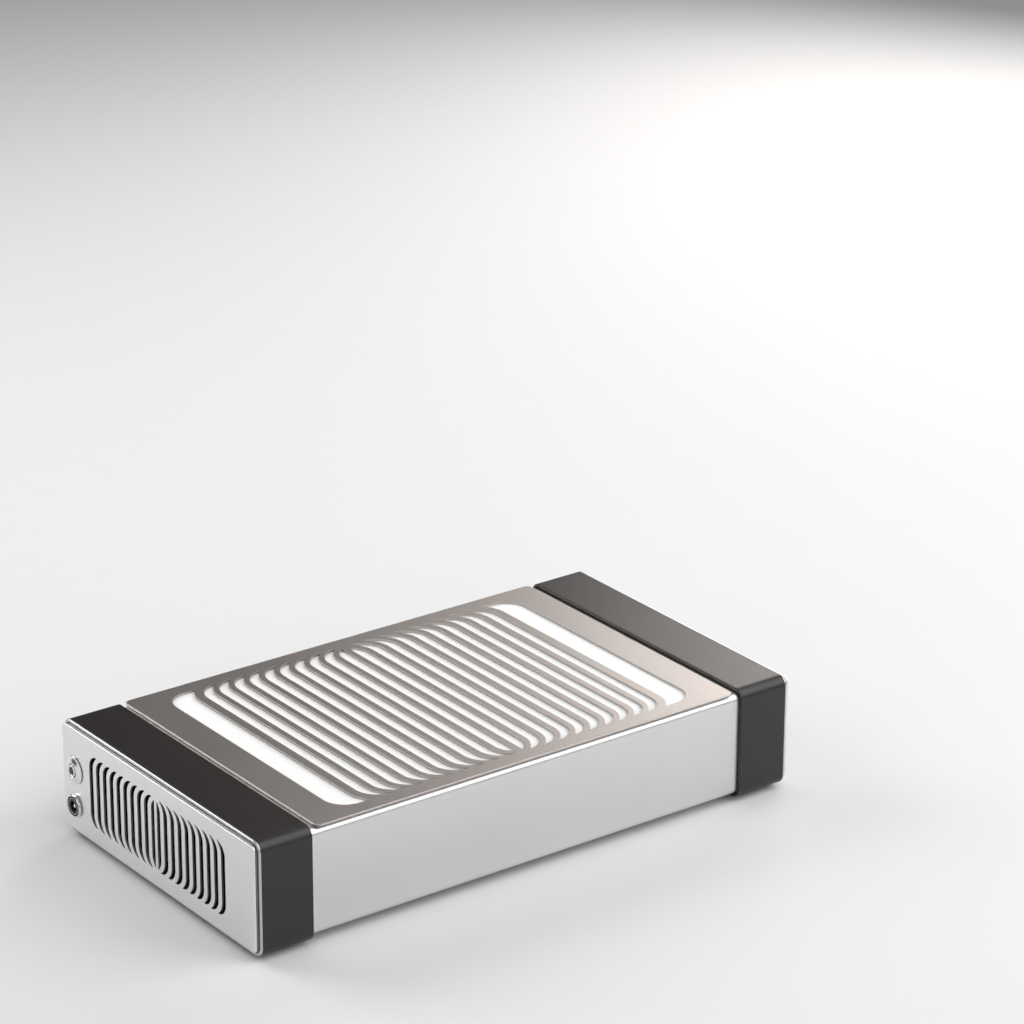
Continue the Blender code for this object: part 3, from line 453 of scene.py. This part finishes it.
# %% A profile carried round a circle
def turned(profile, centre, axis, steps=64):
    """Point = centre + radius (cos a, sin a) across the axis + height along it."""
    radius, height = np.asarray(profile, float).T
    angle = np.linspace(0, 2 * np.pi, steps, endpoint=False)
    u = radius[:, None] * np.cos(angle)
    v = radius[:, None] * np.sin(angle)
    h = np.broadcast_to(height[:, None], u.shape)
    order = {"x": (h, u, v), "z": (u, v, h)}[axis]
    closed = radius[0] > 0 or radius[-1] > 0
    return grid(np.stack(order, axis=2) + np.asarray(centre), wrap_rows=closed)


def node_middle(node):
    low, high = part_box(node)
    return (np.array(low) + np.array(high)) / 2


def node_half(node):
    low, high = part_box(node)
    return (np.array(high) - np.array(low)) / 2


SIDES = {"left": -1, "right": 1}

# %% [markdown]
# ## The end bands
#
# Each band is a sleeve of coated steel, pushed over the end of the body. Its outer end has a
# generous rolled edge, which catches a long line of light, and its inner end is crisp. The wall
# is drawn once as a profile and carried round the casing.


# %% Make both bands
BAND_RADIUS = 5.5 * MM
BAND_WALL = 1.5 * MM
BAND_EDGES = np.array([0.4, 1.4, 0.2, 0.2]) * MM  # inner lip, rolled edge, and both inside the wall


def band_profile(side):
    """The wall's section as (inset, x), from its inner lip to its rolled edge and back inside."""
    low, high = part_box(("left" if side < 0 else "right") + "_band")
    inner, outer = (high[0], low[0]) if side < 0 else (low[0], high[0])
    section = [(0, inner), (0, outer), (BAND_WALL, outer), (BAND_WALL, inner)]
    return soften(section, BAND_EDGES, steps=6, closed=True)


for end, side in SIDES.items():
    node = end + "_band"
    half, middle = node_half(node), node_middle(node)
    surface = sleeve(half[1], half[2], BAND_RADIUS, band_profile(side), "x", middle[1:])
    part(end + "_sleeve", [surface], dark_coat, "dark_coat", "casing", [node])

# %% [markdown]
# ## The surrounds
#
# Between a band and its plate lies a thin grey frame. Only its edge shows, as a line of shadow
# with a little light in it, and that line is what makes the plate look like a separate piece.

# %% Make both surrounds
SURROUND_RADIUS = 3.7 * MM
SURROUND_BAR = 2.4 * MM
SURROUND_EDGE = 0.25 * MM

for end, side in SIDES.items():
    node = end + "_end_frame"
    half, middle = node_half(node), node_middle(node)
    low, high = middle[0] - half[0], middle[0] + half[0]
    section = [(0, low), (0, high), (SURROUND_BAR, high), (SURROUND_BAR, low)]
    section = soften(section, SURROUND_EDGE, closed=True)
    surface = sleeve(half[1], half[2], SURROUND_RADIUS, section, "x", middle[1:])
    part(end + "_surround", [surface], frame_coat, "frame_grey", "casing", [node])

# %% [markdown]
# ## Sheets with slots
#
# The lid and both end plates are flat sheets with a family of bent slots. Punching leaves a
# small radius on every edge, and that radius is what shines. So a sheet is built in three
# steps: an outline for each hole, a rounded edge wall carried along every outline, and a flat
# fill above and below that stops where the rounding starts.


# %% Slot outlines
def arc(centre, radius, start, end, steps):
    """Point = centre + radius (cos a, sin a), a from start to end in degrees."""
    angle = np.radians(np.linspace(start, end, steps + 1))
    return np.asarray(centre) + radius * np.stack([np.cos(angle), np.sin(angle)], axis=1)


def both_ends(top, side):
    """The upper half of an outline, its mirror image below, and the side it lies on."""
    whole = np.concatenate([top, top[::-1] * (1, -1)])
    return whole * (side, 1)


def bent_slot(outer, inner, half, bend, lean, side, steps=12):
    """Outer edge: straight, then a quarter circle of radius bend inwards. Inner edge: straight,
    then a larger arc that leans in by lean over the same height."""
    swing = (lean**2 + bend**2) / (2 * lean)
    reach = math.degrees(math.asin(bend / swing))
    outside = arc((outer - bend, half - bend), bend, 0, 90, steps)
    inside = arc((inner - swing, half - bend), swing, reach, 0, steps // 2)
    return both_ends(np.concatenate([outside, inside]), side)


def clipped_slot(outer, inner, half, bend, side, steps=12):
    """The slot next to the middle bar: its quarter circle stops where it meets the bar."""
    reach = math.degrees(math.acos((inner - outer + bend) / bend))
    return both_ends(arc((outer - bend, half - bend), bend, 0, reach, steps), side)


def slot_family(outer, width, pitch, bar, half, bend, per_side=10):
    """Slots on both sides of a middle bar. Slot i lies i pitches further in."""
    holes = []
    for side in (-1, 1):
        for i in range(per_side - 1):
            edge = outer - i * pitch
            lean = edge - width - (edge - bend)
            holes.append(bent_slot(edge, edge - width, half, bend, lean, side))
        holes.append(clipped_slot(outer - (per_side - 1) * pitch, bar / 2, half, bend, side))
    return holes


# %% Rounded edge walls and flat faces
def clean(loop):
    """Drops points that repeat, and runs the outline counterclockwise."""
    loop = loop[np.linalg.norm(loop - np.roll(loop, 1, axis=0), axis=1) > 1e-6]
    x, y = loop.T
    area = (x * np.roll(y, -1) - y * np.roll(x, -1)).sum()
    return loop if area > 0 else loop[::-1]


def offset(loop, distance):
    """Moves an outline inwards: along the mean of both neighbouring edges' normals, longer at a
    corner by 1 / cos of half its turn, up to twice the distance."""
    ahead = np.roll(loop, -1, axis=0) - loop
    ahead /= np.linalg.norm(ahead, axis=1)[:, None]
    inward = np.stack([-ahead[:, 1], ahead[:, 0]], axis=1)
    mean = inward + np.roll(inward, 1, axis=0)
    length = np.linalg.norm(mean, axis=1)
    stretch = np.minimum(1 / np.maximum(length / 2, 0.5), 2)
    return loop + mean / length[:, None] * (distance * stretch)[:, None]


def slotted_sheet(outline, holes, thick, edges, to_space, steps=4):
    """Edge walls follow a profile (inset, height) whose corners are rounded by edges: first for
    the outline, then for the holes. The fills close both faces."""
    section = np.array([(2.0, -0.5), (0, -0.5), (0, 0.5), (2.0, 0.5)]) * thick
    loops = [clean(outline)] + [clean(hole) for hole in holes]
    surfaces, rims = [], []
    for number, loop in enumerate(loops):
        sign, edge = (1, edges[0]) if number == 0 else (-1, edges[1])
        profile = soften(section, edge, steps)[1:-1]
        rows = np.stack([offset(loop, sign * amount) for amount in profile[:, 0]])
        level = np.broadcast_to(profile[:, 1][:, None, None], rows.shape[:2] + (1,))
        surfaces.append(grid(to_space(np.concatenate([rows, level], axis=2))))
        rims.append((rows[0], rows[-1]))
    for which, level in ((0, -thick / 2), (1, thick / 2)):
        surfaces.append(fill([rim[which] for rim in rims], lambda p, z=level: to_space(p + (0, 0, z))))
    return surfaces


# %% [markdown]
# ## The lid
#
# One sheet of stainless steel, a little warmer than the body. Twenty slots bend towards the
# middle at both ends, and a broad slot closes the pattern left and right.

# %% Make the lid
LID_SLOTS = dict(outer=87 * MM, width=5.7 * MM, pitch=8.85 * MM, bar=3.1 * MM, half=75 * MM, bend=12 * MM)
LID_END_SLOT = dict(outer=105 * MM, inner=91.6 * MM, half=75 * MM, bend=12 * MM, lean=5 * MM)
LID_CORNER = 3.5 * MM
LID_EDGES = (0.55 * MM, 0.14 * MM)  # round the sheet, and round each slot

lid_middle, lid_half = node_middle("grille_lid"), node_half("grille_lid")
lid_holes = slot_family(**LID_SLOTS) + [bent_slot(side=side, **LID_END_SLOT) for side in (-1, 1)]
lid_outline = rounded_outline(lid_half[0], lid_half[1], LID_CORNER, 12)
lid_sheet = slotted_sheet(lid_outline, lid_holes, 2 * lid_half[2], LID_EDGES, lambda p: p + lid_middle)
part("slotted_lid", lid_sheet, lid_steel, "warm_steel", "lid", ["grille_lid"])

# %% [markdown]
# ## The end plates
#
# Silver plates stand a little proud of the bands. The left one also has two round holes, for
# the push button and for the power inlet.

# %% Make both end plates
PLATE_SLOTS = dict(outer=59.3 * MM, width=3.3 * MM, pitch=6.15 * MM, bar=2 * MM, half=19 * MM, bend=7 * MM)
PLATE_CORNER = 2.5 * MM
PLATE_EDGES = (0.45 * MM, 0.16 * MM)
CONTROL_HOLES = {"button_switch": 6.1 * MM, "jack_shell": 4.5 * MM}  # node and hole radius


def end_space(end):
    """Local X runs along Y, local Y up and local Z out of the plate's face."""
    middle, side = node_middle(end + "_end_plate"), SIDES[end]
    return lambda p: np.stack([side * p[..., 2], side * p[..., 0], p[..., 1]], axis=-1) + middle


for end, side in SIDES.items():
    half, middle = node_half(end + "_end_plate"), node_middle(end + "_end_plate")
    holes = slot_family(**PLATE_SLOTS)
    if end == "left":
        for control, radius in CONTROL_HOLES.items():
            at = node_middle(control)
            holes.append(arc((side * at[1], at[2] - middle[2]), radius, 0, 360, 48)[:-1])
    outline = rounded_outline(half[1], half[2], PLATE_CORNER, 10)
    surfaces = slotted_sheet(outline, holes, 2 * half[0], PLATE_EDGES, end_space(end))
    part(end + "_vent_plate", surfaces, plate_metal, "silver_plate", "casing", [end + "_end_plate"])

# %% [markdown]
# ## The steel body
#
# The body is a sheet bent into a flat tube, with a mouth cut in its top. Its long front edge is
# a bend of 4 mm, and the highlight on that bend is the brightest line on the whole object. The
# sides, the bends and the bottom are one sweep along X. The top is a flat fill with the mouth
# left open, inside and outside, and a rounded rim joins the two.

# %% Make the body
BODY_WALL = 1.2 * MM
MOUTH_HALF = (108 * MM, 79 * MM)
MOUTH_CORNER = 6 * MM
MOUTH_EDGE = 0.3 * MM
BEND_STEPS = 16

body_middle, body_half = node_middle("body_shell"), node_half("body_shell")


def body_tube(inset):
    """The section without its flat top, which lies between the first and the second corner."""
    centres, ways = corner_frame(body_half[1], body_half[2], BODY_RADIUS, BEND_STEPS)
    section = centres + (BODY_RADIUS - inset) * ways + body_middle[1:]
    section = np.roll(section, -(BEND_STEPS + 1), axis=0)
    stations = np.array([-body_half[0], body_half[0]])
    x = np.broadcast_to(stations[:, None, None], (2, len(section), 1))
    return np.concatenate([x, np.broadcast_to(section, (2,) + section.shape)], axis=2)


def body_top(inset, mouth, height):
    """The flat top, a rectangle between the two upper bends, less the mouth."""
    half_y = body_half[1] - BODY_RADIUS
    x = body_half[0]
    rectangle = np.array([(-x, -half_y), (x, -half_y), (x, half_y), (-x, half_y)])
    return fill([rectangle, mouth], lambda p: p + (0, 0, height))


body_skins = [body_tube(0), body_tube(BODY_WALL)]
body_surfaces = [grid(skin, wrap_columns=False) for skin in body_skins]
mouth = clean(rounded_outline(*MOUTH_HALF, MOUTH_CORNER, 10))
top_height = body_middle[2] + body_half[2]
rim = [(MOUTH_EDGE, 0), (0, 0), (0, -BODY_WALL), (MOUTH_EDGE, -BODY_WALL)]
rim = soften(rim, MOUTH_EDGE, 4)
rim_rows = np.stack([offset(mouth, -inset) for inset in rim[:, 0]])
rim_level = np.broadcast_to(top_height + rim[:, 1][:, None, None], rim_rows.shape[:2] + (1,))
body_surfaces.append(grid(np.concatenate([rim_rows, rim_level], axis=2)))
body_surfaces.append(body_top(0, rim_rows[0], top_height))
body_surfaces.append(body_top(BODY_WALL, rim_rows[-1], top_height - BODY_WALL))
for station in (0, 1):
    ends = np.stack([skin[station] for skin in body_skins])
    body_surfaces.append(grid(ends))
part("steel_body", body_surfaces, body_steel, "satin_steel", "casing", ["body_shell"])

# %% [markdown]
# ## The filter
#
# Under the lid lies a cassette: a white tray that holds folded filter paper under a white
# fleece. Through the slots only the fleece shows. It isn't quite flat, because it lies over the
# folds, so its top is a grid whose height is a low wave. Its brim reaches over the tray's wall,
# which keeps dust from slipping past, and there it turns down.

# %% Make the fleece
FOLD_PITCH = 5 * MM
FOLD_DEPTH = 0.07 * MM
FLEECE_BELOW_LID = 0.06 * MM
BRIM_DROP = 0.5 * MM
BRIM_ROUNDING = 1.2 * MM
BRIM_ABOVE_TRAY = 0.1 * MM
BRIM_REACH = 0.6 * MM  # the brim stops this far inside the tray's outer face

pad_low, pad_high = (np.array(corner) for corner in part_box("filter_pad"))
tray_low, tray_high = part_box("filter_frame")
brim = np.array(tray_high[:2]) - BRIM_REACH


def fleece_top(columns=240, rows=200):
    """Height = top - depth (1 - cos(2 pi y / pitch)) / 2 - drop (1 - edge), where edge rises
    from 0 to 1 over the rounding next to the border."""
    x, y = np.meshgrid(np.linspace(-brim[0], brim[0], columns), np.linspace(-brim[1], brim[1], rows))
    to_border = np.minimum(brim[0] - abs(x), brim[1] - abs(y))
    edge = 1 - (1 - np.clip(to_border / BRIM_ROUNDING, 0, 1)) ** 2
    wave = (1 - np.cos(2 * np.pi * y / FOLD_PITCH)) / 2
    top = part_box("grille_lid")[0][2] - FLEECE_BELOW_LID
    return np.stack([x, y, top - FOLD_DEPTH * wave - BRIM_DROP * (1 - edge)], axis=2)


def block_below(top, levels):
    """A skirt that goes from a grid's border through levels, each a half size in X and Y and a
    height, and then a flat floor."""
    border = np.concatenate([top[0], top[1:, -1], top[-1, -2::-1], top[-2:0:-1, 0]])
    rows = [border]
    for half_x, half_y, height in levels:
        rows.append(border * (half_x / brim[0], half_y / brim[1], 0) + (0, 0, height))
    foot = rows[-1]
    floor = np.concatenate([foot, foot.mean(axis=0)[None]])
    index = np.arange(len(foot))
    fan = np.stack([index, (index + 1) % len(foot), np.full(len(foot), len(foot))], axis=1)
    return [grid(np.stack(rows)), (floor, fan)]


fleece_surface = fleece_top()
under_brim = tray_high[2] + BRIM_ABOVE_TRAY
pad_levels = [(*brim, under_brim), (*pad_high[:2], under_brim), (*pad_high[:2], pad_low[2])]
pad_surfaces = [grid(fleece_surface, wrap_columns=False)] + block_below(fleece_surface, pad_levels)
part("filter_block", pad_surfaces, filter_white, "white_filter", "cassette", ["filter_pad"])

# %% [markdown]
# The tray round it is a sleeve again, with a ledge at its foot that the filter stands on.

# %% Make the tray
TRAY_WALL = 3 * MM
TRAY_LEDGE = 7 * MM
TRAY_FOOT = 1.2 * MM
TRAY_CORNER = 5 * MM
TRAY_LEAST_CORNER = 0.6 * MM
TRAY_EDGE = 0.4 * MM

tray_section = [
    (0, tray_low[2]), (0, tray_high[2]), (TRAY_WALL, tray_high[2]),
    (TRAY_WALL, tray_low[2] + TRAY_FOOT), (TRAY_LEDGE, tray_low[2] + TRAY_FOOT), (TRAY_LEDGE, tray_low[2]),
]
tray_section = soften(tray_section, TRAY_EDGE, closed=True)


def tray_surface():
    """As sleeve, but a corner's radius has a least value, at which its centre moves in instead."""
    inset, height = tray_section.T
    rows = []
    for amount, level in zip(inset, height):
        radius = max(TRAY_CORNER - amount, TRAY_LEAST_CORNER)
        loop = rounded_outline(tray_high[0] - amount, tray_high[1] - amount, radius)
        rows.append(np.column_stack([loop, np.full(len(loop), level)]))
    return grid(np.stack(rows), wrap_rows=True)


part("filter_tray", [tray_surface()], white_plastic, "white_plastic", "cassette", ["filter_frame"])

# %% [markdown]
# ## The push button
#
# A metal push button has a conical bezel, a fine groove, and a plunger that stands just proud,
# with a dark window in its middle. All of it is turned on a lathe in reality, so all of it is a
# profile carried round a circle here. Heights are measured from the plate's face, outwards.


# %% A lathe for the -X end
def lathe_left(profile, at, cut=0.0, steps=96):
    """A turned part whose axis points out of the left end. Height 0 is the plate's face."""
    softened = soften(profile, cut, steps=5)
    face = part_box("left_end_plate")[0][0]
    radius, height = softened.T
    return turned(np.stack([radius, -height], axis=1), (face, at[1], at[2]), "x", steps)


# %% Make the button
button_at = node_middle("button_plunger")
bezel = [
    (3.4, -8), (3.4, 1.35), (3.75, 1.7), (4.3, 1.62), (6.5, 0.75), (7.2, 0.62), (7.2, 0.3),
    (5.8, 0.3), (5.8, -8), (3.4, -8),
]
bezel = np.array(bezel) * MM
part(
    "button_bezel", [lathe_left(bezel[:-1], button_at, np.array([0, .1, .2, .3, .3, .2, .1, .1, 0]) * MM)],
    chrome, "chrome", "casing", ["button_housing"],
)
cap = np.array([(0, -5), (3.1, -5), (3.1, 2.0), (2.1, 2.0), (2.1, 0.8), (0, 0.8)]) * MM
part(
    "button_cap", [lathe_left(cap, button_at, np.array([0, 0, .3, .25, 0, 0]) * MM)],
    chrome, "chrome", "button", ["button_plunger"],
)
window = np.array([(0, 1.0), (1.9, 1.0), (1.9, 1.72), (1.2, 1.9), (0, 1.93)]) * MM
part(
    "button_window", [lathe_left(window, button_at, np.array([0, 0, .15, .3, 0]) * MM)],
    lens_glass, "dark_lens", "button", ["button_lens"],
)

# %% [markdown]
# ## The power inlet
#
# A round DC inlet: a bright flange, a black face with a fine steel ring let into it, a hole,
# and the centre pin deep inside.

# %% Make the inlet
inlet_at = node_middle("jack_shell")
flange = np.array([
    (3.3, 0.8), (3.3, -11), (4.2, -11), (4.2, 0.3), (5.85, 0.3), (5.85, 1.4), (5.45, 1.7),
    (5.2, 1.7), (5.2, 0.8),
]) * MM
part(
    "inlet_flange", [lathe_left(flange, inlet_at, np.array([0, 0, 0, 0, .1, .25, .15, .1, 0]) * MM)],
    chrome, "chrome", "casing", ["jack_shell"],
)
face = np.array([
    (2.75, 1.6), (2.75, -9), (1.3, -9), (1.3, -10.5), (3.0, -10.5), (3.0, 1.1), (4.9, 1.1), (4.9, 1.6),
    (4.3, 1.6), (4.3, 1.35), (3.7, 1.35), (3.7, 1.6),
]) * MM
part(
    "inlet_face", [lathe_left(face, inlet_at, np.array([.3, 0, 0, 0, 0, 0, 0, .2, .08, 0, 0, .08]) * MM)],
    socket_plastic, "black_plastic", "casing", ["jack_insert"],
)
ring = np.array([(3.85, 1.45), (4.15, 1.45), (4.15, 1.7), (3.85, 1.7)]) * MM
part("inlet_ring", [lathe_left(ring, inlet_at)], zinc_steel, "zinc_steel", "casing", ["jack_ring"])
pin = np.array([(0, -12), (1.05, -12), (1.05, 0.7), (0.6, 1.15), (0, 1.2)]) * MM
part(
    "inlet_pin", [lathe_left(pin, inlet_at, np.array([0, 0, .4, .3, 0]) * MM)],
    chrome, "chrome", "casing", ["jack_pin"],
)

# %% [markdown]
# ## The feet
#
# Four rubber feet, each with a countersunk screw. They show only from the side and from below,
# but they lift the casing off the table, and that thin line of shadow tells how it stands.

# %% Make the feet
FOOT_STEPS = 48

for number in (1, 2, 3, 4):
    at = node_middle(f"foot_{number}") * (1, 1, 0)
    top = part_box(f"foot_{number}")[1][2] / MM
    foot = np.array([(3.4, 0), (7, 0), (6.4, top), (1.8, top), (1.8, 1.2), (3.4, 1.2)]) * MM
    foot = soften(foot, np.array([0, .5, .2, 0, 0, 0]) * MM, 5)
    part(
        f"rubber_foot_{number}", [turned(foot, at, "z", FOOT_STEPS)],
        rubber, "black_rubber", "casing", [f"foot_{number}"],
    )

# %% [markdown]
# ## Finishes for the parts that keep their own mesh
#
# What is left lies inside the casing or under it. Those nodes already have the right shape, so
# each only gets its finish.

# %% Paint the carried-over parts
KEPT = {
    # The fan deck's near-black coat is painted shade.
    "fan_deck": deck_shade_coat, "filter_gasket": foam, "button_switch": black_plastic,
    "button_nut": zinc_steel, "jack_nut": zinc_steel, "control_board": board_mask,
    "board_capacitor": black_plastic, "board_connector": black_plastic,
    "jack_wire": cable_skin, "button_wire": cable_skin,
    "left_fan_wire": cable_skin, "right_fan_wire": cable_skin,
}
KEPT |= {f"{kind}_{n}": look for kind, look, count in (
    ("lid_magnet", nickel, 4), ("foot_screw", zinc_steel, 4), ("fan_screw", zinc_steel, 8),
    ("board_post", zinc_steel, 2),
) for n in range(1, count + 1)}
for end in SIDES:
    KEPT |= {
        end + "_fan_frame": black_plastic, end + "_fan_rotor": black_plastic,
        end + "_fan_stator": copper, end + "_fan_guard": chrome,
    }
for name, look in KEPT.items():
    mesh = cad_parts[name].data
    mesh.materials.clear()
    mesh.materials.append(look)
print("painted", len(KEPT), "carried-over parts")

# %% [markdown]
# ## Floor and light
#
# A flat pale floor and six soft lights. The lid is nearly a mirror for what stands behind it, so
# the light behind and to the right is what gives it its slow change from warm grey to nearly
# white. Two more lights stand where the body's front bend and the bands' outer edges look for
# them, and they draw the bright lines along those edges.


# %% Make the floor
def floor_plate(reach=9.0, lines=12):
    """A flat square grid at height 0."""
    x, y = np.meshgrid(np.linspace(-reach, reach, lines), np.linspace(-reach, reach, lines))
    return grid(np.stack([x, y, 0 * x], axis=2), wrap_columns=False)


floor_points, floor_faces = floor_plate()
floor_mesh = bpy.data.meshes.new("floor")
floor_mesh.from_pydata(floor_points.tolist(), [], floor_faces.tolist())
floor_mesh.shade_smooth()
floor = bpy.data.objects.new("floor", floor_mesh)
bpy.context.scene.collection.objects.link(floor)
floor_look = moulded("floor_paper", tint(0.78, 0.78, 0.785), 0.9, grain=900, depth=4e-6, spread=0.01)
floor_mesh.materials.append(floor_look)


# %% Place the lights
def soft_light(name, at, size, power, aim=(0, 0, 0.03), colour=(1, 1, 1)):
    """A square area light of side size metres that faces aim."""
    data = bpy.data.lights.new(name, "AREA")
    data.shape = "SQUARE"
    data.size = size
    data.energy = power
    data.color = colour
    light = bpy.data.objects.new(name, data)
    light.location = at
    light.rotation_euler = (Vector(aim) - Vector(at)).to_track_quat("-Z", "Y").to_euler()
    bpy.context.scene.collection.objects.link(light)
    return light


soft_light("top_softbox", (-0.1, -0.2, 1.9), 1.6, 9)
soft_light("front_softbox", (-0.6, -2.0, 1.2), 1.2, 8)
soft_light("left_softbox", (-2.0, -0.2, 0.9), 1.2, 6)
soft_light("bend_softbox", (0.80, -0.75, 0.95), 1.3, 14)
soft_light("end_softbox", (-0.65, 1.11, 0.83), 0.8, 10)
soft_light("back_right_softbox", (1.134, 0.65, 0.6), 0.8, 7.4, colour=(1, 0.965, 0.93))

world = bpy.data.worlds.new("studio")
world.use_nodes = True
world.node_tree.nodes["Background"].inputs["Color"].default_value = grey(0.9)
world.node_tree.nodes["Background"].inputs["Strength"].default_value = 0.09
bpy.context.scene.world = world
bpy.context.scene.view_settings.view_transform = "Standard"
